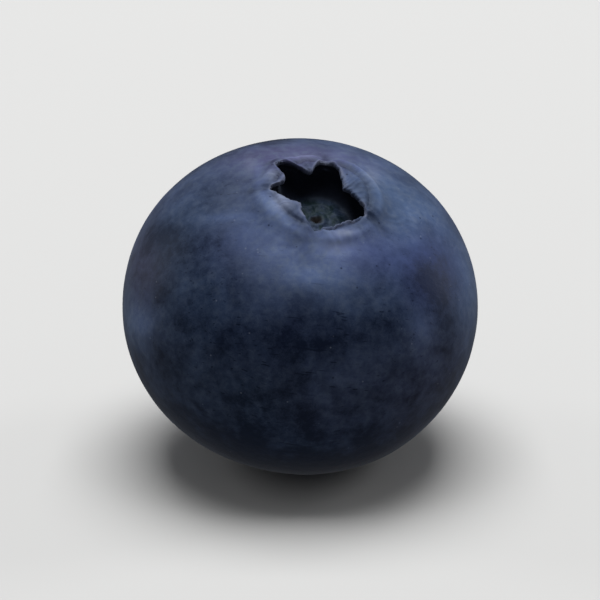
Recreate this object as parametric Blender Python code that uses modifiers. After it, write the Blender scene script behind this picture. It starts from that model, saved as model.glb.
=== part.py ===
"""A ripe highbush blueberry, picked, resting on a small flat spot with its crown leaning to the front.

The fruit grew as one piece, so it is one solid: the round skin, the five calyx lobes that ring the
pit at the blossom end, the pit with its nectary ring and style scar, and the scar of the stalk.
Metres, +Z up. The origin is on the resting surface, under the middle of the berry.

The berry is first made about its own axis, with its widest level at height 0, its crown up and its
stalk scar down. It is then leaned over, pressed flat where it rests and set down on the origin.
"""

import math

import bpy
from mathutils import Matrix

MM = 0.001

# Skin: a turned shape, a little squarer than an ellipse
EQUATOR_RADIUS = 9.0 * MM
CROWN_END_HEIGHT = 7.7 * MM
STEM_END_DEPTH = 7.85 * MM
SKIN_SQUARENESS = 2.15
OVAL_SHARE = 0.007
OVAL_AZIMUTH = math.radians(25)
TRIPLE_SHARE = 0.004
TRIPLE_AZIMUTH = math.radians(70)

# Calyx: a low collar whose upper edge folds inwards over the pit as five lobes
COLLAR_RADIUS = 2.76 * MM
COLLAR_WALL = 0.7 * MM
COLLAR_FLARE = 0.42 * MM
COLLAR_ROOT_HEIGHT = 7.16 * MM
COLLAR_FOOT_RADIUS = 4.6 * MM
LOBE_LENGTH = 1.8 * MM
LOBE_TIP_WALL = 0.6 * MM
LOBE_ROUNDNESS = 1.35
FOLD_RADIUS = 0.52 * MM
FOLD_ANGLE = math.radians(92)
CREASE_DEPTH = 0.16 * MM
CREASE_WIDTH = math.radians(7)
CORNER_SHARE = 0.035
CORNER_REACH = 6.8 * MM
FURROW_DEPTH = 0.14 * MM

# Each lobe: the azimuth of the notch that it starts at, the collar left in that notch, then the
# lobe's length and fold radius, all three as shares
LOBES = (
    (math.radians(-25), 0.41, 1.02, 1.15),
    (math.radians(86), 0.19, 0.76, 1.05),
    (math.radians(136), 0.17, 0.54, 0.95),
    (math.radians(177), 0.34, 0.94, 1.12),
    (math.radians(264), 0.33, 0.44, 1.00),
)

# The gap between two lobes where the collar is pulled outwards
GAP_AZIMUTH = math.radians(133)
GAP_DEPTH = 0.55 * MM
GAP_WIDTH = math.radians(10)
GAP_RADIUS = 2.8 * MM
GAP_REACH = 0.7 * MM

# Pit: a round bowl inside the collar
PIT_FLOOR_HEIGHT = 5.9 * MM
PIT_FLOOR_RADIUS = 1.6 * MM
PIT_FILLET_HEIGHT = 1.26 * MM
NECTARY_RADIUS = 1.05 * MM
NECTARY_HEIGHT = 0.2 * MM
NECTARY_WIDTH = 0.34 * MM
STYLE_RADIUS = 0.36 * MM
STYLE_RIM_HEIGHT = 0.1 * MM
STYLE_RIM_WIDTH = 0.16 * MM
STYLE_DEPTH = 0.22 * MM

# Stalk scar: a shallow dimple with a torn stub in its middle
SCAR_RADIUS = 1.5 * MM
SCAR_DEPTH = 0.42 * MM
STUB_RADIUS = 0.5 * MM
STUB_HEIGHT = 0.2 * MM

# Rest: the crown leans to the front and a little to the right, and the underside is pressed flat
LEAN = math.radians(20)
LEAN_TO_RIGHT = math.radians(23)
PRESSED_DEPTH = 0.3 * MM
PRESSED_EDGE = 0.08 * MM

# Fineness of the turned shape
AZIMUTH_STEPS = 90
PIT_FLOOR_STEPS = 9
PIT_FILLET_STEPS = 6
LOBE_STEPS = 6
CREST_STEPS = 4
FOOT_STEPS = 4
SKIN_STEPS = 22
SCAR_STEPS = 7

SKIN_COLOUR = (0.045, 0.060, 0.115, 1.0)
SKIN_ROUGHNESS = 0.6
SHARP_ANGLE = math.radians(50)


def bump(distance, width):
    """A smooth hill of height 1 at distance 0."""
    return math.exp(-((distance / width) ** 2))


def smooth_step(share):
    """0 to 1 with level ends, for a share of the way from 0 to 1."""
    share = min(max(share, 0.0), 1.0)
    return share * share * (3 - 2 * share)


def skin_height(radius, pole_height):
    """Height of the turned skin at a radius, on the side whose pole has this height."""
    share = (radius / EQUATOR_RADIUS) ** SKIN_SQUARENESS
    return pole_height * (1 - share) ** (1 / SKIN_SQUARENESS)


def pit_floor():
    """From the style scar at the axis out over the nectary ring to the floor's edge."""
    for step in range(PIT_FLOOR_STEPS + 1):
        radius = PIT_FLOOR_RADIUS * step / PIT_FLOOR_STEPS
        height = PIT_FLOOR_HEIGHT
        height += NECTARY_HEIGHT * bump(radius - NECTARY_RADIUS, NECTARY_WIDTH)
        height += STYLE_RIM_HEIGHT * bump(radius - STYLE_RADIUS, STYLE_RIM_WIDTH)
        height -= STYLE_DEPTH * bump(radius, STYLE_RADIUS / 2)
        yield radius, height


def pit_fillet():
    """A quarter of an ellipse, from the floor's edge up to just under the collar's inner side."""
    wall_radius = COLLAR_RADIUS - COLLAR_WALL / 2
    for step in range(1, PIT_FILLET_STEPS):
        turn = math.pi / 2 * step / PIT_FILLET_STEPS
        radius = PIT_FLOOR_RADIUS + (wall_radius - PIT_FLOOR_RADIUS) * math.sin(turn)
        yield radius, PIT_FLOOR_HEIGHT + PIT_FILLET_HEIGHT * (1 - math.cos(turn))


def collar_wall():
    """The lobes before they are cut and folded: up the inner side, over the crest, down again."""
    tip_half = LOBE_TIP_WALL / 2
    side_height = LOBE_LENGTH - tip_half

    def half_wall(share):
        return (COLLAR_WALL + (LOBE_TIP_WALL - COLLAR_WALL) * share) / 2

    def flare(share):
        return COLLAR_FLARE * (1 - share) ** 4

    for step in range(LOBE_STEPS):
        share = step / LOBE_STEPS
        yield COLLAR_RADIUS - half_wall(share), COLLAR_ROOT_HEIGHT + side_height * share
    for step in range(CREST_STEPS + 1):
        turn = math.pi * (1 - step / CREST_STEPS)
        yield (
            COLLAR_RADIUS + tip_half * math.cos(turn),
            COLLAR_ROOT_HEIGHT + side_height + tip_half * math.sin(turn),
        )
    for step in range(LOBE_STEPS - 1, -1, -1):
        share = step / LOBE_STEPS
        outer_radius = COLLAR_RADIUS + half_wall(share) + flare(share)
        yield outer_radius, COLLAR_ROOT_HEIGHT + side_height * share


def collar_foot():
    """A hollow curve from the collar's outer side out onto the skin."""
    top = (COLLAR_RADIUS + COLLAR_WALL / 2 + COLLAR_FLARE, COLLAR_ROOT_HEIGHT)
    end = (COLLAR_FOOT_RADIUS, skin_height(COLLAR_FOOT_RADIUS, CROWN_END_HEIGHT))
    corner = (top[0] + 0.35 * (end[0] - top[0]), top[1] - 0.5 * (top[1] - end[1]))
    for step in range(1, FOOT_STEPS):
        t = step / FOOT_STEPS
        yield tuple(
            (1 - t) ** 2 * a + 2 * t * (1 - t) * b + t * t * c
            for a, b, c in zip(top, corner, end)
        )


def skin():
    """From the collar's foot over the widest level to the lip of the stalk scar."""
    power = 2 / SKIN_SQUARENESS
    first = math.acos((COLLAR_FOOT_RADIUS / EQUATOR_RADIUS) ** (1 / power))
    last = -math.acos((SCAR_RADIUS / EQUATOR_RADIUS) ** (1 / power))
    for step in range(SKIN_STEPS + 1):
        turn = first + (last - first) * step / SKIN_STEPS
        pole_height = CROWN_END_HEIGHT if turn > 0 else STEM_END_DEPTH
        height = math.copysign(pole_height * abs(math.sin(turn)) ** power, turn)
        yield EQUATOR_RADIUS * math.cos(turn) ** power, height


def stalk_scar():
    """From the scar's lip in to the axis."""
    for step in range(1, SCAR_STEPS + 1):
        radius = SCAR_RADIUS * (1 - step / SCAR_STEPS)
        height = -skin_height(radius, STEM_END_DEPTH)
        height += SCAR_DEPTH * smooth_step((SCAR_RADIUS - radius) / (SCAR_RADIUS / 2))
        height -= STUB_HEIGHT * bump(radius, STUB_RADIUS)
        yield radius, height


def profile_points():
    """Half of the berry's outline as (radius, height), from the pit's middle to the stalk's."""
    for stretch in (pit_floor, pit_fillet, collar_wall, collar_foot, skin, stalk_scar):
        yield from stretch()


def lobe_at(azimuth):
    """(share of the way across the lobe at this azimuth, angle to its nearer notch, notch, length, fold).

    The last three are shares, and the notch's goes evenly from that of one notch to that of the next.
    """
    first = LOBES[0][0]
    azimuth = first + (azimuth - first) % (2 * math.pi)
    index = sum(lobe[0] <= azimuth for lobe in LOBES) - 1
    start, start_notch, length, fold = LOBES[index]
    end, end_notch = LOBES[(index + 1) % len(LOBES)][:2]
    if end <= start:
        end += 2 * math.pi
    across = (azimuth - start) / (end - start)
    notch = start_notch + (end_notch - start_notch) * across
    return across, min(azimuth - start, end - azimuth), notch, length, fold


def cut_and_fold(radius, height, azimuth):
    """A point of the plain collar, shortened to its lobe's edge and folded inwards with the lobe.

    Up the wall the fold follows an arc until it has turned by FOLD_ANGLE, then it runs straight on.
    """
    across, from_notch, notch_share, length_share, fold_share = lobe_at(azimuth)
    arch = 1 - abs(2 * across - 1) ** LOBE_ROUNDNESS
    shortening = notch_share + (length_share - notch_share) * arch
    fold_radius = FOLD_RADIUS * (1 + (fold_share - 1) * math.sin(math.pi * across))
    along = (height - COLLAR_ROOT_HEIGHT) * shortening
    turn = min(along / fold_radius, FOLD_ANGLE)
    straight = along - turn * fold_radius
    outwards = radius - COLLAR_RADIUS
    if outwards > 0:
        outwards -= CREASE_DEPTH * bump(from_notch, CREASE_WIDTH) * smooth_step(turn)
    inward_run = fold_radius * (1 - math.cos(turn)) + straight * math.sin(turn)
    rise = fold_radius * math.sin(turn) + straight * math.cos(turn)
    return (
        COLLAR_RADIUS - inward_run + outwards * math.cos(turn),
        COLLAR_ROOT_HEIGHT + rise + outwards * math.sin(turn),
    )


def grown(point):
    """Where a point of the plain turned shape ends up on the berry, about the berry's own axis."""
    radius = math.hypot(point.x, point.y)
    azimuth = math.atan2(point.y, point.x)
    height = point.z
    if height > COLLAR_ROOT_HEIGHT:
        radius, height = cut_and_fold(radius, height, azimuth)
    corner = math.cos(2 * math.pi * lobe_at(azimuth)[0])
    crown_end = height > 0
    if crown_end:
        pull = bump(azimuth - GAP_AZIMUTH, GAP_WIDTH) * bump(radius - GAP_RADIUS, GAP_REACH)
        radius += GAP_DEPTH * pull
        nearness = 1 - smooth_step((radius - COLLAR_RADIUS) / (CORNER_REACH - COLLAR_RADIUS))
        on_shoulder = smooth_step((radius - COLLAR_RADIUS) / (COLLAR_FOOT_RADIUS - COLLAR_RADIUS))
        radius *= 1 + CORNER_SHARE * corner * nearness
        height -= FURROW_DEPTH * max(corner, 0) ** 2 * nearness * on_shoulder
    radius *= 1 + OVAL_SHARE * math.cos(2 * (azimuth - OVAL_AZIMUTH))
    radius *= 1 + TRIPLE_SHARE * math.cos(3 * (azimuth - TRIPLE_AZIMUTH))
    return radius * math.cos(azimuth), radius * math.sin(azimuth), height


def turned_mesh(name, points):
    """A closed mesh turned about Z from (radius, height) points that start and end on the axis."""
    outline = bpy.data.meshes.new(name + "_outline")
    edges = [(i, i + 1) for i in range(len(points) - 1)]
    outline.from_pydata([(radius, 0, height) for radius, height in points], edges, [])
    lathe = bpy.data.objects.new(name + "_lathe", outline)
    bpy.context.scene.collection.objects.link(lathe)
    screw = lathe.modifiers.new("Turn", "SCREW")
    screw.steps = screw.render_steps = AZIMUTH_STEPS
    screw.use_merge_vertices = True
    screw.merge_threshold = 0.001 * MM
    evaluated = lathe.evaluated_get(bpy.context.evaluated_depsgraph_get())
    mesh = bpy.data.meshes.new_from_object(evaluated)
    bpy.data.objects.remove(lathe)
    bpy.data.meshes.remove(outline)
    mesh.name = name
    return mesh


def lean_over(mesh):
    """Leans the crown from straight up towards the front, -Y, and a little to the right, +X."""
    towards_x, towards_y = math.sin(LEAN_TO_RIGHT), -math.cos(LEAN_TO_RIGHT)
    hinge = (-towards_y, towards_x, 0)
    mesh.transform(Matrix.Rotation(LEAN, 4, hinge))


def press_flat(mesh):
    """Pushes the underside up into a flat spot whose edge runs softly into the round skin."""
    spot_height = min(vertex.co.z for vertex in mesh.vertices) + PRESSED_DEPTH
    for vertex in mesh.vertices:
        over_spot = vertex.co.z - spot_height
        if over_spot < -PRESSED_EDGE:
            vertex.co.z = spot_height
        elif over_spot < PRESSED_EDGE:
            vertex.co.z = spot_height + (over_spot + PRESSED_EDGE) ** 2 / (4 * PRESSED_EDGE)


def set_down(mesh):
    """Moves the berry so that it stands on height 0 with the middle of its box over the origin."""
    xs, ys, zs = zip(*(vertex.co for vertex in mesh.vertices))
    middle_x, middle_y = (min(xs) + max(xs)) / 2, (min(ys) + max(ys)) / 2
    mesh.transform(Matrix.Translation((-middle_x, -middle_y, -min(zs))))


def skin_material():
    material = bpy.data.materials.new("blueberry_skin")
    material.use_nodes = True
    shader = material.node_tree.nodes["Principled BSDF"]
    shader.inputs["Base Color"].default_value = SKIN_COLOUR
    shader.inputs["Roughness"].default_value = SKIN_ROUGHNESS
    shader.inputs["Metallic"].default_value = 0.0
    material.diffuse_color = SKIN_COLOUR
    return material


def build_blueberry(collection):
    mesh = turned_mesh("blueberry", list(profile_points()))
    for vertex in mesh.vertices:
        vertex.co = grown(vertex.co)
    lean_over(mesh)
    press_flat(mesh)
    set_down(mesh)
    mesh.shade_smooth()
    mesh.set_sharp_from_angle(angle=SHARP_ANGLE)
    mesh.materials.append(skin_material())
    berry = bpy.data.objects.new("blueberry", mesh)
    collection.objects.link(berry)
    return berry


def main():
    for leftover in list(bpy.data.objects):
        bpy.data.objects.remove(leftover)
    collection = bpy.data.collections.new("blueberry")
    bpy.context.scene.collection.children.link(collection)
    build_blueberry(collection)


main()
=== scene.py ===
"""The looks of a ripe blueberry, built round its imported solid.

The berry is one piece here as well. Its skin, calyx, pit and stalk scar are one fine mesh that follows the
solid's own shape rules, with thinner, ragged lobes, wrinkles and gentle dents on top. Lengths in the shape
rules are in millimetres, about the berry's own axis: widest level at height 0, crown up, stalk scar down.
"""

import math

import bpy
import numpy as np
from mathutils import Matrix, Vector, noise


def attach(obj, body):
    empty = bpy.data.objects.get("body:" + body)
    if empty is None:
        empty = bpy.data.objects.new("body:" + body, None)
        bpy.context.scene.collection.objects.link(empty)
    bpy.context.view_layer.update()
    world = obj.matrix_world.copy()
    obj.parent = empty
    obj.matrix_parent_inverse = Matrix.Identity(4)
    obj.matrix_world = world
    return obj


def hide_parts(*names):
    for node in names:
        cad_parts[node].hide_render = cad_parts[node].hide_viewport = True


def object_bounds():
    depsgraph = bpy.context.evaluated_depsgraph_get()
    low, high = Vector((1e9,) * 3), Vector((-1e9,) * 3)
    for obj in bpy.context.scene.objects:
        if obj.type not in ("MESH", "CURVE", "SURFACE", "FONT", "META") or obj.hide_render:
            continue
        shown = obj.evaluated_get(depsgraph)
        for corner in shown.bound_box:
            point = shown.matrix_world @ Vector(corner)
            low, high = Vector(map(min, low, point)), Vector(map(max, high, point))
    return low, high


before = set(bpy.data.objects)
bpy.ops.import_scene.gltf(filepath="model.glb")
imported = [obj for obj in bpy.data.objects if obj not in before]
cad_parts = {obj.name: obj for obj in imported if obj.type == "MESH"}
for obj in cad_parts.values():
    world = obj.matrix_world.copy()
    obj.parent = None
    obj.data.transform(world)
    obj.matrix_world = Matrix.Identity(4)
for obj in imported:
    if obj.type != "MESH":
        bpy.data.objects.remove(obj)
cad_low, cad_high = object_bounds()

MM = 0.001

# The solid's skin
EQUATOR_RADIUS = 9.0
CROWN_END_HEIGHT = 7.7
STEM_END_DEPTH = 7.85
SKIN_SQUARENESS = 2.15
OVAL_SHARE = 0.007
OVAL_AZIMUTH = math.radians(25)
TRIPLE_SHARE = 0.004
TRIPLE_AZIMUTH = math.radians(70)

# The solid's calyx, with thinner walls
COLLAR_RADIUS = 2.76
COLLAR_WALL = 0.66
COLLAR_FLARE = 0.42
COLLAR_ROOT_HEIGHT = 7.16
COLLAR_FOOT_RADIUS = 4.6
LOBE_LENGTH = 1.8
LOBE_TIP_WALL = 0.3
LOBE_ROUNDNESS = 1.35
FOLD_RADIUS = 0.52
FOLD_ANGLE = math.radians(92)
CREASE_DEPTH = 0.16
CREASE_WIDTH = math.radians(6)
CORNER_SHARE = 0.035
CORNER_REACH = 6.8
FURROW_DEPTH = 0.14

# Each lobe: the azimuth in degrees of the notch that it starts at, the collar left in that notch, then the
# lobe's length and fold radius, all three as shares
LOBES = np.array(
    (
        (-25, 0.38, 1.02, 1.15),
        (86, 0.16, 0.76, 1.05),
        (136, 0.14, 0.54, 0.95),
        (177, 0.31, 0.94, 1.12),
        (264, 0.30, 0.44, 1.00),
    )
)

# The gap between two lobes where the collar is pulled outwards
GAP_AZIMUTH = math.radians(133)
GAP_DEPTH = 0.55
GAP_WIDTH = math.radians(10)
GAP_RADIUS = 2.8
GAP_REACH = 0.7

# The solid's pit and stalk scar
PIT_FLOOR_HEIGHT = 5.9
PIT_FLOOR_RADIUS = 1.6
PIT_FILLET_HEIGHT = 1.26
NECTARY_RADIUS = 1.05
NECTARY_HEIGHT = 0.2
NECTARY_WIDTH = 0.34
STYLE_RADIUS = 0.36
STYLE_RIM_HEIGHT = 0.1
STYLE_RIM_WIDTH = 0.16
STYLE_DEPTH = 0.22
SCAR_RADIUS = 1.5
SCAR_DEPTH = 0.42
STUB_RADIUS = 0.5
STUB_HEIGHT = 0.2

# How the berry rests
LEAN = math.radians(20)
LEAN_TO_RIGHT = math.radians(23)
PRESSED_DEPTH = 0.3
PRESSED_EDGE = 0.08

# Low relief on top of the solid's shape
DENT_HEIGHT = 0.07
SMALL_DENT_HEIGHT = 0.018
SHOULDER_WRINKLES = 31
LOBE_WRINKLES = 37
PIT_WRINKLES = 25
WRINKLE_HEIGHT = 0.016
LOBE_WRINKLE_HEIGHT = 0.020
WRINKLE_WANDER = 9
PIT_WRINKLE_WANDER = 8
RIB_HEIGHT = 0.05
RIM_RADIUS = 3.0
RIM_HEIGHT = 0.06
DIP_RADIUS = 2.45
DIP_DEPTH = 0.14
NECTARY_WEAR = 0.14
PIT_LUMP_HEIGHT = 0.10
INNER_ROUGHNESS = 0.03
SCAR_ROUGHNESS = 0.09

# Fineness
AZIMUTH_STEPS = 360
PIT_FLOOR_STEPS = 28
PIT_FILLET_STEPS = 14
LOBE_STEPS = 24
CREST_STEPS = 8
FOOT_STEPS = 14
FOOT_PASSES = 30
SKIN_STEPS = 112
SCAR_STEPS = 26

# Camera, floor and lights, in metres and watts
CAMERA_ELEVATION = math.radians(25)
CAMERA_DISTANCE = 0.34
CAMERA_LENS = 400
FLOOR_HALF_WIDTH = 1.4
FLOOR_COLOUR = (0.50, 0.50, 0.495, 1)
SKY_COLOUR = (0.97, 0.98, 1.0, 1)
SKY_STRENGTH = 0.15
LIGHTS_AIM = (0, 0, 0.008)

# Each softbox: its name, place, width, height and power
SOFTBOXES = (
    ("overhead", (0.0, 0.12, 0.50), 0.40, 0.36, 3.9),
    ("left_strip", (-0.42, 0.18, 0.16), 0.12, 0.34, 0.4),
    ("right_strip", (0.42, 0.18, 0.16), 0.12, 0.34, 0.6),
)


def bump(distance, width):
    """A smooth hill of height 1 at distance 0."""
    return np.exp(-((distance / width) ** 2))


def smooth_step(share):
    """0 to 1 with level ends, for a share of the way from 0 to 1."""
    share = np.clip(share, 0.0, 1.0)
    return share * share * (3 - 2 * share)


def between(value, low, high):
    """How far a value is on its smooth way from low to high, from 0 to 1."""
    return smooth_step((value - low) / (high - low))


def skin_height(radius, pole_height):
    share = (radius / EQUATOR_RADIUS) ** SKIN_SQUARENESS
    return pole_height * (1 - share) ** (1 / SKIN_SQUARENESS)


def pit_floor():
    radius = np.linspace(0, PIT_FLOOR_RADIUS, PIT_FLOOR_STEPS + 1)
    height = PIT_FLOOR_HEIGHT + NECTARY_HEIGHT * bump(radius - NECTARY_RADIUS, NECTARY_WIDTH)
    height += STYLE_RIM_HEIGHT * bump(radius - STYLE_RADIUS, STYLE_RIM_WIDTH)
    height -= STYLE_DEPTH * bump(radius, STYLE_RADIUS / 2)
    return radius, height


def pit_fillet():
    wall_radius = COLLAR_RADIUS - COLLAR_WALL / 2
    turn = np.linspace(0, math.pi / 2, PIT_FILLET_STEPS + 1)[1:-1]
    radius = PIT_FLOOR_RADIUS + (wall_radius - PIT_FLOOR_RADIUS) * np.sin(turn)
    return radius, PIT_FLOOR_HEIGHT + PIT_FILLET_HEIGHT * (1 - np.cos(turn))


def half_wall(share):
    return (COLLAR_WALL + (LOBE_TIP_WALL - COLLAR_WALL) * share**0.8) / 2


def side_heights():
    share = np.arange(LOBE_STEPS) / LOBE_STEPS
    return share, COLLAR_ROOT_HEIGHT + (LOBE_LENGTH - LOBE_TIP_WALL / 2) * share


def inner_side():
    share, height = side_heights()
    return COLLAR_RADIUS - half_wall(share), height


def crest():
    turn = math.pi * (1 - np.arange(CREST_STEPS + 1) / CREST_STEPS)
    tip_half = LOBE_TIP_WALL / 2
    height = COLLAR_ROOT_HEIGHT + LOBE_LENGTH - tip_half + tip_half * np.sin(turn)
    return COLLAR_RADIUS + tip_half * np.cos(turn), height


def outer_side():
    share, height = side_heights()
    radius = COLLAR_RADIUS + half_wall(share) + COLLAR_FLARE * (1 - share) ** 4
    return radius[::-1], height[::-1]


def collar_foot():
    top = np.array((COLLAR_RADIUS + COLLAR_WALL / 2 + COLLAR_FLARE, COLLAR_ROOT_HEIGHT))
    end = np.array((COLLAR_FOOT_RADIUS, skin_height(COLLAR_FOOT_RADIUS, CROWN_END_HEIGHT)))
    corner = np.array((top[0] + 0.35 * (end[0] - top[0]), top[1] - 0.5 * (top[1] - end[1])))
    t = (np.arange(1, FOOT_STEPS) / FOOT_STEPS)[:, None]
    return ((1 - t) ** 2 * top + 2 * t * (1 - t) * corner + t * t * end).T


def skin():
    power = 2 / SKIN_SQUARENESS
    first = math.acos((COLLAR_FOOT_RADIUS / EQUATOR_RADIUS) ** (1 / power))
    last = -math.acos((SCAR_RADIUS / EQUATOR_RADIUS) ** (1 / power))
    turn = np.linspace(first, last, SKIN_STEPS + 1)
    pole_height = np.where(turn > 0, CROWN_END_HEIGHT, STEM_END_DEPTH)
    height = np.copysign(pole_height * np.abs(np.sin(turn)) ** power, turn)
    return EQUATOR_RADIUS * np.cos(turn) ** power, height


def stalk_scar():
    radius = SCAR_RADIUS * (1 - np.arange(1, SCAR_STEPS + 1) / SCAR_STEPS)
    height = -skin_height(radius, STEM_END_DEPTH)
    height += SCAR_DEPTH * smooth_step((SCAR_RADIUS - radius) / (SCAR_RADIUS / 2))
    height -= STUB_HEIGHT * bump(radius, STUB_RADIUS)
    return radius, height


def profile():
    """Radius, height and stretch name of every ring, from the pit's middle to the stalk's."""
    radii, heights, names = [], [], []
    for stretch in (pit_floor, pit_fillet, inner_side, crest, outer_side, collar_foot, skin, stalk_scar):
        radius, height = stretch()
        radii.append(radius)
        heights.append(height)
        names += [stretch.__name__] * len(radius)
    return np.concatenate(radii), np.concatenate(heights), np.array(names)


def lobe_fields(azimuth):
    """Share of the way across the lobe, angle to its nearer notch, and notch, length and fold shares."""
    starts = np.radians(LOBES[:, 0])
    ends = np.append(starts[1:], starts[0] + 2 * math.pi)
    notches = np.append(LOBES[:, 1], LOBES[0, 1])
    turned = starts[0] + (azimuth - starts[0] + 1e-9) % (2 * math.pi)
    index = np.searchsorted(starts, turned, side="right") - 1
    start, end = starts[index], ends[index]
    across = (turned - start) / (end - start)
    from_notch = np.minimum(turned - start, end - turned)
    notch = notches[index] + (notches[index + 1] - notches[index]) * across
    return across, from_notch, notch, LOBES[index, 2], LOBES[index, 3]


def ragged_edge(azimuth):
    """Small uneven changes of a lobe's length with azimuth, in shares."""
    waves = ((7, 0.4, 0.012), (13, 1.9, 0.014), (23, 4.1, 0.012), (41, 0.7, 0.010), (67, 2.9, 0.007))
    return sum(size * np.sin(count * azimuth + phase) for count, phase, size in waves)


def folded(radius, height, azimuth):
    """The plain collar's points, shortened to their lobes' edges and folded inwards."""
    across, from_notch, notch_share, length_share, fold_share = lobe_fields(azimuth)
    arch = 1 - np.abs(2 * across - 1) ** LOBE_ROUNDNESS
    shortening = notch_share + (length_share - notch_share) * arch
    shortening = shortening + ragged_edge(azimuth) * between(arch, 0, 0.3)
    fold_radius = FOLD_RADIUS * (1 + (fold_share - 1) * np.sin(math.pi * across))
    along = (height - COLLAR_ROOT_HEIGHT) * shortening
    turn = np.minimum(along / fold_radius, FOLD_ANGLE)
    straight = along - turn * fold_radius
    outwards = radius - COLLAR_RADIUS
    crease = CREASE_DEPTH * bump(from_notch, CREASE_WIDTH) * smooth_step(turn)
    outwards = np.where(outwards > 0, outwards - crease, outwards)
    inward_run = fold_radius * (1 - np.cos(turn)) + straight * np.sin(turn)
    rise = fold_radius * np.sin(turn) + straight * np.cos(turn)
    return (
        COLLAR_RADIUS - inward_run + outwards * np.cos(turn),
        COLLAR_ROOT_HEIGHT + rise + outwards * np.sin(turn),
    )


def grown_grid(radius, height, azimuth):
    """The whole surface as a grid of points, rings by azimuths, about the berry's own axis."""
    on_collar = height > COLLAR_ROOT_HEIGHT
    bent_radius, bent_height = folded(radius, height, azimuth)
    radius = np.where(on_collar, bent_radius, radius)
    height = np.where(on_collar, bent_height, height)
    corner = np.cos(2 * math.pi * lobe_fields(azimuth)[0])
    from_gap = (azimuth - GAP_AZIMUTH + math.pi) % (2 * math.pi) - math.pi
    pull = bump(from_gap, GAP_WIDTH) * bump(radius - GAP_RADIUS, GAP_REACH)
    radius = np.where(height > 0, radius + GAP_DEPTH * pull, radius)
    nearness = 1 - between(radius, COLLAR_RADIUS, CORNER_REACH)
    on_shoulder = between(radius, COLLAR_RADIUS, COLLAR_FOOT_RADIUS)
    crown_end = height > 0
    radius = np.where(crown_end, radius * (1 + CORNER_SHARE * corner * nearness), radius)
    furrow = FURROW_DEPTH * np.maximum(corner, 0) ** 2 * nearness * on_shoulder
    height = np.where(crown_end, height - furrow, height)
    radius = radius * (1 + OVAL_SHARE * np.cos(2 * (azimuth - OVAL_AZIMUTH)))
    radius = radius * (1 + TRIPLE_SHARE * np.cos(3 * (azimuth - TRIPLE_AZIMUTH)))
    return np.stack((radius * np.cos(azimuth), radius * np.sin(azimuth), height), axis=-1)


def softened(grid, names):
    """The grid with the crease at the collar's foot and its end on the skin eased into one hollow curve."""
    rings = np.arange(len(names))
    foot = np.flatnonzero(names == "collar_foot")
    share = bump((rings - foot.mean()) / len(foot), 0.9)[1:-1, None, None]
    for _ in range(FOOT_PASSES):
        middle = (grid[:-2] + grid[2:]) / 2
        grid = grid.copy()
        grid[1:-1] += 0.5 * share * (middle - grid[1:-1])
    return grid


def grid_normals(grid):
    """Outward normals of a grid of rings by azimuths whose first and last ring are the poles."""
    round_the_axis = np.roll(grid, -1, axis=1) - np.roll(grid, 1, axis=1)
    down_the_side = np.gradient(grid, axis=0)
    normals = np.cross(down_the_side, round_the_axis)
    normals /= np.maximum(np.linalg.norm(normals, axis=-1, keepdims=True), 1e-9)
    normals[0] = (0, 0, 1)
    normals[-1] = (0, 0, -1)
    return normals


def noise_field(points, size, seed, octaves=3):
    """Smooth noise between about -1 and 1 at every point; size is its coarsest wave in millimetres."""
    shift = Vector((17.3 * seed, -9.1 * seed, 4.7 * seed))
    flat = (points.reshape(-1, 3) / size).tolist()
    values = [noise.fractal(Vector(p) + shift, 1.0, 2.1, octaves) for p in flat]
    return np.array(values).reshape(points.shape[:-1])


class Regions:
    """Where each vertex is on the berry: weights from 0 to 1 on the grid of rings by azimuths."""

    def __init__(self, grid, names, azimuth):
        rings = len(names)
        wall_share = np.zeros(rings)
        share = np.arange(LOBE_STEPS) / LOBE_STEPS
        wall_share[names == "inner_side"] = share
        wall_share[names == "crest"] = 1
        wall_share[names == "outer_side"] = share[::-1]
        crest_at = np.flatnonzero(names == "crest").mean()
        before_crest = 1 - between(np.arange(rings), crest_at - 2, crest_at + 2)
        ones = np.ones(azimuth.shape)
        self.wall_share = wall_share[:, None] * ones
        self.inside = before_crest[:, None] * ones
        self.outer = np.isin(names, ("outer_side",))[:, None] * ones
        self.dry = between(wall_share, 0.82, 1.0)[:, None] * ones
        self.radius = np.hypot(grid[..., 0], grid[..., 1])
        in_the_pit = np.isin(names, ("pit_floor", "pit_fillet"))[:, None]
        self.floor = in_the_pit * (1 - between(self.radius, 1.35, 1.95))
        self.crown_end = between(grid[..., 2], 0, 1)
        self.skin = between(self.radius, 2.9, 4.6) * self.crown_end + (1 - self.crown_end)
        past_the_scar = between(self.radius, SCAR_RADIUS * 0.62, SCAR_RADIUS * 1.02)
        self.scar = (1 - self.crown_end) * (1 - past_the_scar)
        self.across, from_notch = lobe_fields(azimuth)[:2]
        on_lobe = between(from_notch, math.radians(3), math.radians(16))
        self.rim = bump(self.radius - RIM_RADIUS, 0.20) * self.outer * on_lobe
        self.dip = bump(self.radius - DIP_RADIUS, 0.17) * self.outer * on_lobe
        on_collar = np.isin(names, ("outer_side", "collar_foot", "skin"))[:, None] * self.crown_end
        by_the_notch = bump(from_notch, math.radians(4)) * on_collar
        self.crease = by_the_notch * (1 - between(self.radius, 3.4, 4.1))


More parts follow.
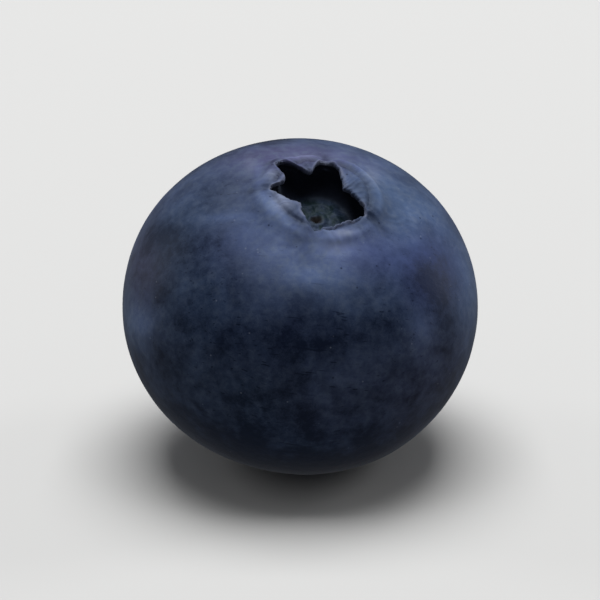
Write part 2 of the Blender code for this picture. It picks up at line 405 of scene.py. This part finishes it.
def relief(grid, regions, azimuth):
    """Heights in millimetres that are added to the plain surface along its normals."""
    wander = noise_field(grid, 1.6, 3, 2)
    dents = DENT_HEIGHT * noise_field(grid, 7.5, 1, 1) + SMALL_DENT_HEIGHT * noise_field(grid, 2.6, 2, 2)
    height = dents * regions.skin
    swell = 0.5 + 0.5 * noise_field(grid, 2.2, 5, 2)
    shoulder = between(regions.radius, 3.1, 3.7) * (1 - between(regions.radius, 4.2, 5.6))
    shoulder = shoulder * regions.crown_end * (1 - regions.inside)
    wrinkles = np.sin(SHOULDER_WRINKLES * azimuth + WRINKLE_WANDER * wander)
    height += WRINKLE_HEIGHT * wrinkles * shoulder * swell
    on_lobe = regions.outer * between(regions.wall_share, 0.05, 0.4)
    wrinkles = np.sin(LOBE_WRINKLES * azimuth + WRINKLE_WANDER * wander)
    height += LOBE_WRINKLE_HEIGHT * wrinkles * on_lobe * swell
    height += RIB_HEIGHT * bump(regions.across - 0.5, 0.07) * on_lobe
    height += RIM_HEIGHT * regions.rim - DIP_DEPTH * regions.dip * (0.5 + swell)
    floor = regions.floor * between(regions.radius, 0.6, 1.2)
    wrinkles = np.sin(PIT_WRINKLES * azimuth + PIT_WRINKLE_WANDER * wander)
    height += WRINKLE_HEIGHT * wrinkles * floor * swell
    worn = bump(regions.radius - NECTARY_RADIUS, NECTARY_WIDTH) * regions.floor * (1 - swell)
    height -= NECTARY_WEAR * worn
    height += PIT_LUMP_HEIGHT * noise_field(grid, 0.7, 8, 3) * regions.floor
    rough = noise_field(grid, 0.5, 4, 3)
    height += INNER_ROUGHNESS * rough * regions.inside
    height += SCAR_ROUGHNESS * rough * regions.scar
    return height


def leaned(points):
    """Turned about the berry's middle so that its crown leans to the front and a little to the right."""
    hinge = Vector((math.cos(LEAN_TO_RIGHT), math.sin(LEAN_TO_RIGHT), 0))
    turn = np.array(Matrix.Rotation(LEAN, 3, hinge))
    return points @ turn.T


def pressed(points, spot_height):
    """Pushed up into the flat spot that the berry rests on."""
    over_spot = points[..., 2] - spot_height
    soft = spot_height + (over_spot + PRESSED_EDGE) ** 2 / (4 * PRESSED_EDGE)
    height = np.where(over_spot < PRESSED_EDGE, soft, points[..., 2])
    height = np.where(over_spot < -PRESSED_EDGE, spot_height, height)
    return np.stack((points[..., 0], points[..., 1], height), axis=-1)


def camera_axes():
    """The camera's right, up and back directions."""
    back = Vector((0, -math.cos(CAMERA_ELEVATION), math.sin(CAMERA_ELEVATION)))
    right = Vector((1, 0, 0))
    return np.array((right, back.cross(right), back))


# Patches on the side that the photograph shows. Each has its place to the right of and above the berry's
# middle, its width and its height, as shares of the berry's half width and half height, and last its
# amount. First, where the wax is thicker or rubbed off, together with painted light: painted highlights on
# the lobes and rims, painted reflections along the left and right edges, more wax as painted light over the
# shade at the collar's foot under the crown, and painted shade as less wax in bands across the middle.
SEEN_WAX_AND_LIGHT_PATCHES = (
    (-0.28, 0.36, 0.13, 0.14, 0.16),
    (-0.12, 0.24, 0.12, 0.12, 0.22),
    (0.04, 0.16, 0.15, 0.09, 0.28),
    (0.22, 0.25, 0.11, 0.12, 0.20),
    (0.30, 0.39, 0.14, 0.10, 0.34),
    (0.57, 0.42, 0.11, 0.15, 0.18),
    (0.71, 0.45, 0.04, 0.06, -0.12),
    (0.30, 0.26, 0.05, 0.05, -0.08),
    (-0.52, 0.52, 0.10, 0.06, 0.11),
    (0.43, 0.74, 0.16, 0.14, 0.26),
    (0.74, 0.56, 0.10, 0.14, 0.20),
    (0.58, 0.62, 0.10, 0.07, 0.12),
    (0.42, 0.46, 0.08, 0.05, 0.18),
    (0.20, 0.44, 0.08, 0.04, 0.20),
    # More wax under the crown, painting light over the shade at the collar's foot
    (0.09, 0.35, 0.18, 0.07, 0.62),
    (0.22, 0.36, 0.07, 0.05, 0.22),
    (0.08, 0.17, 0.15, 0.07, 0.22),
    (-0.20, 0.80, 0.08, 0.06, 0.14),
    (0.35, 0.82, 0.08, 0.05, 0.08),
    (-0.06, 0.94, 0.40, 0.10, 0.16),
    # Painted highlights on the ridge and ledge left of the crown and on the rim under it
    (-0.235, 0.72, 0.025, 0.13, 0.22),
    (-0.38, 0.525, 0.16, 0.022, 0.18),
    (-0.10, 0.45, 0.08, 0.06, 0.54),
    (-0.46, 0.37, 0.22, 0.13, -0.18),
    (-0.42, 0.66, 0.10, 0.07, -0.10),
    (0.38, 0.56, 0.05, 0.04, -0.10),
    # A painted highlight just under the crown, and painted shade below it
    (0.05, 0.425, 0.10, 0.022, 0.20),
    (0.02, 0.385, 0.10, 0.018, -0.12),
    (0.01, 0.30, 0.025, 0.08, -0.10),
    (-0.78, 0.32, 0.14, 0.20, -0.20),
    (-0.80, 0.08, 0.06, 0.12, -0.16),
    (-0.45, 0.72, 0.12, 0.08, -0.06),
    # Painted shade: less wax in bands across the middle
    (-0.45, -0.12, 0.12, 0.10, -0.12),
    (0.22, -0.09, 0.34, 0.07, -0.12),
    (0.50, -0.13, 0.09, 0.10, -0.12),
    (-0.02, -0.20, 0.50, 0.10, -0.08),
    (-0.36, 0.14, 0.10, 0.18, -0.08),
    (0.72, 0.16, 0.10, 0.14, -0.26),
    (0.80, -0.02, 0.06, 0.14, -0.14),
    (0.67, -0.13, 0.08, 0.08, 0.18),
    (0.66, -0.33, 0.11, 0.12, 0.12),
    # Painted reflections along the right and left edges
    (0.95, 0.00, 0.10, 0.40, 0.30),
    (-0.90, -0.12, 0.10, 0.14, 0.50),
    (0.65, -0.22, 0.10, 0.12, 0.20),
    (-0.66, -0.34, 0.12, 0.10, 0.10),
    (-0.60, 0.05, 0.08, 0.10, 0.08),
    (0.15, -0.46, 0.12, 0.16, 0.24),
    (-0.22, -0.36, 0.10, 0.10, -0.05),
    # Painted highlights on the left lobes
    (-0.15, 0.61, 0.06, 0.05, 0.60),
    (-0.12, 0.53, 0.06, 0.04, 0.60),
    (0.62, 0.55, 0.08, 0.06, 0.18),
    (0.28, 0.76, 0.06, 0.05, 0.20),
)
# Where the skin is more purple, less purple or deeper blue, then where painted highlights go on the lobe
# tips and rims, drawn as paler wax
PURPLE_PATCHES = (
    (0.36, 0.34, 0.16, 0.14, 0.3),
    (0.72, 0.12, 0.20, 0.24, -0.5),
    (0.02, 0.92, 0.50, 0.12, 0.8),
    (-0.90, 0.22, 0.12, 0.22, 0.8),
)
DEEP_BLUE_PATCHES = (
    (0.72, 0.18, 0.16, 0.24, 1.2),
    (0.44, 0.28, 0.18, 0.13, 0.7),
    (-0.40, 0.38, 0.16, 0.16, 0.4),
)
PAINTED_HIGHLIGHT_PATCHES = (
    (-0.085, 0.600, 0.050, 0.035, 0.55),
    (-0.120, 0.655, 0.045, 0.030, 0.50),
    (-0.145, 0.785, 0.040, 0.030, 0.45),
    (-0.285, 0.850, 0.030, 0.060, 0.25),
    (0.400, 0.780, 0.045, 0.060, 0.25),
    (0.240, 0.435, 0.060, 0.025, 0.40),
    (0.020, 0.893, 0.060, 0.020, 0.20),
    (0.190, 0.350, 0.080, 0.050, 0.16),
)
HIDDEN_PATCHES = 26
SEEN_HALF_WIDTH = 9.0
SEEN_HALF_HEIGHT = 8.38

# How much wax there is all over, how much more on top, how much more on the underside where it is hidden,
# and how much less on the underside where it is seen, which is painted shade
LEAST_WAX = 0.07
WAX_ON_TOP = 0.20
HIDDEN_UNDERSIDE_WAX = 0.12
SEEN_UNDERSIDE_SHADE = -0.12


def facing(seen):
    """1 on the side that the photograph shows and 0 on the hidden side, with a soft edge."""
    return between(seen[..., 2], -0.05, 0.25)


def on_the_seen_side(seen, patches):
    """The sum of soft patches placed by how far right and up they are from the berry's middle."""
    total = np.zeros(seen.shape[:-1])
    for x, y, width, height, share in patches:
        total += share * bump(seen[..., 0] - x, width) * bump(seen[..., 1] - y, height) * facing(seen)
    return total


def wax_and_light_fields(points, own, regions, azimuth):
    """How thick, purple and deep blue the wax is and where painted highlights go, from patches, streaks and
    slow noise; the wax's thickness also carries painted light and shade.
    """
    away = points / np.maximum(np.linalg.norm(points, axis=-1, keepdims=True), 1e-9)
    seen = points @ camera_axes().T / (SEEN_HALF_WIDTH, SEEN_HALF_HEIGHT, EQUATOR_RADIUS)
    front = facing(seen)
    underside = 1 - between(away[..., 2], -0.75, -0.25)
    amount = LEAST_WAX + WAX_ON_TOP * between(away[..., 2], -0.20, 0.60)
    # More wax on the hidden underside, and less on the seen underside as painted shade
    amount += (HIDDEN_UNDERSIDE_WAX + (SEEN_UNDERSIDE_SHADE - HIDDEN_UNDERSIDE_WAX) * front) * underside
    amount += on_the_seen_side(seen, SEEN_WAX_AND_LIGHT_PATCHES)
    draw = np.random.default_rng(11)
    for _ in range(HIDDEN_PATCHES):
        middle = draw.normal(size=3)
        middle /= np.linalg.norm(middle)
        spread = draw.uniform(0.10, 0.34)
        share = draw.choice((-0.2, -0.16, 0.12, 0.16, 0.22))
        amount += share * bump(np.linalg.norm(away - middle, axis=-1), spread) * (1 - front)
    amount += 0.09 * noise_field(own, 5.0, 6, 2)
    streak_place = np.stack((3 * np.cos(azimuth), 3 * np.sin(azimuth), own[..., 2] * 0.10), axis=-1)
    amount += 0.07 * noise_field(streak_place, 0.9, 7, 3) * regions.skin
    halo = bump(regions.radius - 3.9, 1.3) * regions.crown_end * (1 - regions.inside)
    # Less wax in the dip under each lobe's rim and in the creases at the notches, partly painted shade;
    # more wax on the rims as a painted highlight
    amount += 0.28 * regions.rim - 0.24 * regions.dip - 0.22 * regions.crease
    # More wax near the lobes' tips as a painted highlight
    amount += 0.20 * regions.outer * between(regions.wall_share, 0.7, 0.95)
    purple = 0.08 + 0.4 * noise_field(own, 8.0, 9, 2) + on_the_seen_side(seen, PURPLE_PATCHES)
    deep = 0.8 * noise_field(own, 6.0, 12, 2) * (1 - front) + on_the_seen_side(seen, DEEP_BLUE_PATCHES)
    # Painted highlights on the lobe tips and rims, kept off the crown's inside
    painted_highlight = on_the_seen_side(seen, PAINTED_HIGHLIGHT_PATCHES) * (1 - regions.inside)
    return amount + 0.10 * halo, np.clip(purple, 0, 1), np.clip(deep, 0, 1), painted_highlight


def add_values(mesh, name, grid, kind="FLOAT"):
    """A named value at every vertex, from a grid whose first and last rings are one vertex each."""
    layer = mesh.attributes.new(name, kind, "POINT")
    flat = np.concatenate((grid[0, :1], grid[1:-1].reshape(-1, *grid.shape[2:]), grid[-1, :1]))
    field = "vector" if kind == "FLOAT_VECTOR" else "value"
    layer.data.foreach_set(field, flat.astype(np.float32).ravel())


def grid_mesh(name, grid):
    """A closed mesh from a grid of rings by azimuths whose first and last rings are the poles."""
    rings, steps = grid.shape[:2]
    points = np.concatenate((grid[0, :1], grid[1:-1].reshape(-1, 3), grid[-1, :1]))
    this = np.arange(steps)
    after = np.roll(this, -1)
    faces = [(0, 1 + a, 1 + b) for a, b in zip(this, after)]
    for ring in range(rings - 3):
        first = 1 + ring * steps
        second = first + steps
        faces += [(first + a, second + a, second + b, first + b) for a, b in zip(this, after)]
    last = len(points) - 1
    first = last - steps
    faces += [(first + a, last, first + b) for a, b in zip(this, after)]
    mesh = bpy.data.meshes.new(name)
    mesh.from_pydata(points.tolist(), [], [tuple(int(i) for i in face) for face in faces])
    mesh.shade_smooth()
    return mesh


class Shader:
    """Short ways to add nodes to one material."""

    def __init__(self, name):
        self.material = bpy.data.materials.new(name)
        self.material.use_nodes = True
        self.tree = self.material.node_tree
        self.surface = self.tree.nodes["Principled BSDF"]

    def node(self, kind, inputs=(), **settings):
        made = self.tree.nodes.new(kind)
        for key, value in settings.items():
            setattr(made, key, value)
        for key, value in dict(inputs).items():
            self.put(made.inputs[key], value)
        return made

    def put(self, socket, value):
        if isinstance(value, bpy.types.NodeSocket):
            self.tree.links.new(value, socket)
        else:
            socket.default_value = value

    def value(self, name):
        return self.node("ShaderNodeAttribute", attribute_name=name).outputs["Fac"]

    def place(self, name):
        return self.node("ShaderNodeAttribute", attribute_name=name).outputs["Vector"]

    def maths(self, operation, first, second):
        made = self.node("ShaderNodeMath", operation=operation)
        for socket, value in zip(made.inputs, (first, second)):
            self.put(socket, value)
        return made.outputs[0]

    def add(self, first, second):
        return self.maths("ADD", first, second)

    def times(self, first, second):
        return self.maths("MULTIPLY", first, second)

    def ranged(self, value, low, high, to_low=0.0, to_high=1.0):
        inputs = {"Value": value, "From Min": low, "From Max": high, "To Min": to_low, "To Max": to_high}
        return self.node("ShaderNodeMapRange", inputs, interpolation_type="SMOOTHSTEP").outputs[0]

    def mixed(self, share, first, second):
        made = self.node("ShaderNodeMix", data_type="RGBA")
        sockets = (made.inputs["Factor"], made.inputs[6], made.inputs[7])
        for socket, value in zip(sockets, (share, first, second)):
            self.put(socket, value)
        return made.outputs[2]

    def noise(self, place, waves_per_mm, detail=3.0, roughness=0.5, distortion=0.0):
        inputs = {
            "Vector": place,
            "Scale": waves_per_mm,
            "Detail": detail,
            "Roughness": roughness,
            "Distortion": distortion,
        }
        return self.node("ShaderNodeTexNoise", inputs).outputs["Fac"]


BARE_NAVY = (0.0022, 0.0066, 0.0215, 1)
BARE_PURPLE = (0.0080, 0.0066, 0.0210, 1)
BARE_DEEP_BLUE = (0.0020, 0.0060, 0.0330, 1)
WAX_BLUE = (0.077, 0.124, 0.242, 1)
WAX_DEEP_BLUE = (0.082, 0.118, 0.300, 1)
HIGHLIGHT_WAX = (0.300, 0.330, 0.430, 1)
WAX_PURPLE = (0.112, 0.118, 0.256, 1)
WAX_GREY = (0.118, 0.154, 0.232, 1)
SPECK_WHITE = (0.260, 0.290, 0.360, 1)
INNER_DARK = (0.0070, 0.0085, 0.0150, 1)
PIT_GREY_SHADE = (0.0078, 0.0175, 0.0205, 1)
DRY_EDGE_HIGHLIGHT = (0.135, 0.150, 0.215, 1)
STYLE_BROWN = (0.012, 0.009, 0.007, 1)
SCAR_TAN = (0.190, 0.130, 0.080, 1)
SCAR_DARK = (0.035, 0.022, 0.014, 1)


def scuffs(shader, place):
    """Short hairlines where the wax was scratched: the peaks of noises stretched along three directions."""
    total = 0.0
    for turn in ((0.3, 0.5, 0.9), (1.2, -0.4, 2.3), (2.0, 0.9, 0.2)):
        inputs = {"Vector": place, "Rotation": turn, "Scale": (0.55, 8.0, 8.0)}
        stretched = shader.node("ShaderNodeMapping", inputs).outputs[0]
        total = shader.add(total, shader.ranged(shader.noise(stretched, 1.0, 1.0, 0.3), 0.72, 0.80))
    return total


def dots(shader, place, per_mm, radius, rarity):
    """Small round dots, one to a cell of scattered cells, of which only some are filled."""
    cells = shader.node("ShaderNodeTexVoronoi", {"Vector": place, "Scale": per_mm, "Randomness": 1.0})
    near = shader.ranged(cells.outputs["Distance"], radius * per_mm * 0.6, radius * per_mm * 1.4, 1.0, 0.0)
    pick = shader.node("ShaderNodeSeparateColor", {"Color": cells.outputs["Color"]}).outputs[0]
    return shader.times(near, shader.maths("GREATER_THAN", pick, rarity))


def skin_material():
    shader = Shader("blueberry_bloom")
    place = shader.place("own_place")
    patchy = shader.noise(place, 0.55, 4.0, 0.5, 0.6)
    mottled = shader.noise(place, 2.4, 6.0, 0.6, 0.3)
    grains = shader.noise(place, 12.0, 4.0, 0.7)
    # The wax cover, which also carries painted light and shade
    wax = shader.value("wax_and_light")
    wax = shader.add(wax, shader.ranged(patchy, 0.25, 0.75, -0.10, 0.10))
    wax = shader.add(wax, shader.ranged(mottled, 0.2, 0.8, -0.08, 0.08))
    wax = shader.add(wax, shader.ranged(grains, 0.2, 0.8, -0.05, 0.05))
    wax = shader.add(wax, shader.times(scuffs(shader, place), -0.16))
    cover = shader.maths("MINIMUM", shader.maths("MAXIMUM", wax, 0.0), 1.0)

    purple = shader.value("purple")
    deep_blue = shader.value("deep_blue")
    bare = shader.mixed(purple, BARE_NAVY, BARE_PURPLE)
    bare = shader.mixed(deep_blue, bare, BARE_DEEP_BLUE)
    wax_tone = shader.mixed(purple, WAX_BLUE, WAX_PURPLE)
    wax_tone = shader.mixed(shader.ranged(mottled, 0.35, 0.75, 0.0, 0.7), wax_tone, WAX_GREY)
    wax_tone = shader.mixed(deep_blue, wax_tone, WAX_DEEP_BLUE)
    colour = shader.mixed(cover, bare, wax_tone)
    # Painted highlights on the lobe tips and rims, as paler wax
    colour = shader.mixed(shader.times(shader.value("painted_highlight"), cover), colour, HIGHLIGHT_WAX)
    colour = shader.mixed(shader.times(dots(shader, place, 1.3, 0.055, 0.55), 0.70), colour, bare)
    colour = shader.mixed(shader.times(dots(shader, place, 1.7, 0.045, 0.80), 0.20), colour, SPECK_WHITE)

    inner = shader.value("inside")
    colour = shader.mixed(shader.times(inner, 0.92), colour, INNER_DARK)
    # The pit floor's grey-green, darkened as painted shade in the hollow
    blotches = shader.ranged(shader.noise(place, 1.9, 4.0, 0.6, 0.5), 0.35, 0.65, 0.3, 1.0)
    colour = shader.mixed(shader.times(shader.value("floor"), blotches), colour, PIT_GREY_SHADE)
    colour = shader.mixed(shader.value("style"), colour, STYLE_BROWN)
    # Dried lobe edges, drawn paler as a painted highlight along the lobes' edges
    dried = shader.ranged(shader.noise(place, 0.9, 3.0), 0.38, 0.62, 0.05, 1.0)
    dry = shader.times(shader.value("dry"), dried)
    colour = shader.mixed(shader.times(dry, 0.65), colour, DRY_EDGE_HIGHLIGHT)
    torn = shader.noise(place, 5.0, 5.0, 0.7, 0.8)
    scar_tone = shader.mixed(shader.ranged(torn, 0.4, 0.62), SCAR_DARK, SCAR_TAN)
    scar = shader.value("scar")
    colour = shader.mixed(scar, colour, scar_tone)
    shader.put(shader.surface.inputs["Base Color"], colour)

    roughness = shader.ranged(cover, 0.0, 0.7, 0.46, 0.76)
    roughness = shader.add(roughness, shader.ranged(grains, 0.2, 0.8, -0.04, 0.04))
    dull = shader.maths("MAXIMUM", scar, shader.maths("MAXIMUM", inner, dry))
    roughness = shader.maths("MAXIMUM", roughness, shader.times(dull, 0.82))
    shader.put(shader.surface.inputs["Roughness"], roughness)

    height = shader.times(shader.noise(place, 1.4, 3.0, 0.5), 0.030)
    height = shader.add(height, shader.times(mottled, 0.010))
    height = shader.add(height, shader.times(grains, 0.004))
    height = shader.add(height, shader.times(shader.times(torn, scar), 0.12))
    raised = shader.node("ShaderNodeBump", {"Height": height, "Distance": MM, "Strength": 0.8})
    shader.put(shader.surface.inputs["Normal"], raised.outputs["Normal"])

    shader.surface.inputs["IOR"].default_value = 1.4
    shader.surface.inputs["Specular IOR Level"].default_value = 0.24
    shader.surface.inputs["Specular Tint"].default_value = (0.62, 0.78, 1.0, 1)
    shader.surface.inputs["Sheen Weight"].default_value = 0.07
    shader.surface.inputs["Sheen Roughness"].default_value = 0.4
    shader.surface.inputs["Sheen Tint"].default_value = (0.60, 0.74, 1.0, 1)
    return shader.material


def build_berry():
    radius, height, names = profile()
    steps = np.arange(AZIMUTH_STEPS) * 2 * math.pi / AZIMUTH_STEPS
    radius_grid, azimuth = np.meshgrid(radius, steps, indexing="ij")
    height_grid = np.broadcast_to(height[:, None], radius_grid.shape)
    own = softened(grown_grid(radius_grid, height_grid, azimuth), names)
    regions = Regions(own, names, azimuth)
    standing = leaned(own)
    spot_height = standing[..., 2].min() + PRESSED_DEPTH
    resting = pressed(standing, spot_height)
    middle = (resting.min((0, 1)) + resting.max((0, 1))) / 2
    middle[2] = spot_height

    rough = own + grid_normals(own) * relief(own, regions, azimuth)[..., None]
    points = (pressed(leaned(rough), spot_height) - middle) * MM
    mesh = grid_mesh("blueberry_skin", points)
    add_values(mesh, "own_place", own, "FLOAT_VECTOR")
    wax_and_light, purple, deep_blue, painted_highlight = wax_and_light_fields(standing, own, regions, azimuth)
    add_values(mesh, "wax_and_light", wax_and_light)
    add_values(mesh, "purple", purple)
    add_values(mesh, "deep_blue", deep_blue)
    add_values(mesh, "painted_highlight", painted_highlight)
    add_values(mesh, "inside", regions.inside * (1 - regions.floor))
    add_values(mesh, "floor", regions.floor)
    add_values(mesh, "style", regions.floor * (1 - between(regions.radius, 0.18, 0.42)))
    add_values(mesh, "dry", regions.dry)
    add_values(mesh, "scar", regions.scar)
    mesh.materials.append(skin_material())
    berry = bpy.data.objects.new("blueberry_skin", mesh)
    bpy.context.scene.collection.objects.link(berry)
    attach(berry, "root")
    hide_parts("blueberry")


def build_floor():
    mesh = bpy.data.meshes.new("floor")
    half = FLOOR_HALF_WIDTH
    corners = [(-half, -half, 0), (half, -half, 0), (half, half, 0), (-half, half, 0)]
    mesh.from_pydata(corners, [], [(0, 1, 2, 3)])
    shader = Shader("pale_floor")
    shader.surface.inputs["Base Color"].default_value = FLOOR_COLOUR
    shader.surface.inputs["Roughness"].default_value = 0.9
    mesh.materials.append(shader.material)
    floor = bpy.data.objects.new("floor", mesh)
    floor.visible_glossy = False
    bpy.context.scene.collection.objects.link(floor)


def add_softbox(name, place, width, height, power):
    light = bpy.data.lights.new(name, "AREA")
    light.shape = "RECTANGLE"
    light.size, light.size_y = width, height
    light.energy = power
    softbox = bpy.data.objects.new(name, light)
    softbox.location = place
    softbox.rotation_euler = (Vector(LIGHTS_AIM) - Vector(place)).to_track_quat("-Z", "Y").to_euler()
    bpy.context.scene.collection.objects.link(softbox)


def light_up():
    world = bpy.data.worlds.new("studio")
    bpy.context.scene.world = world
    world.use_nodes = True
    background = world.node_tree.nodes["Background"]
    background.inputs["Color"].default_value = SKY_COLOUR
    background.inputs["Strength"].default_value = SKY_STRENGTH
    for softbox in SOFTBOXES:
        add_softbox(*softbox)
    bpy.context.scene.view_settings.view_transform = "Standard"


def add_camera():
    back = Vector(camera_axes()[2])
    data = bpy.data.cameras.new("camera")
    data.lens = CAMERA_LENS
    data.clip_start, data.clip_end = 0.05, 5
    camera = bpy.data.objects.new("camera", data)
    target = Vector((0, 0, (cad_low.z + cad_high.z) / 2))
    camera.location = target + back * CAMERA_DISTANCE
    camera.rotation_euler = (-back).to_track_quat("-Z", "Y").to_euler()
    bpy.context.scene.collection.objects.link(camera)
    bpy.context.scene.camera = camera


build_berry()
build_floor()
light_up()
add_camera()
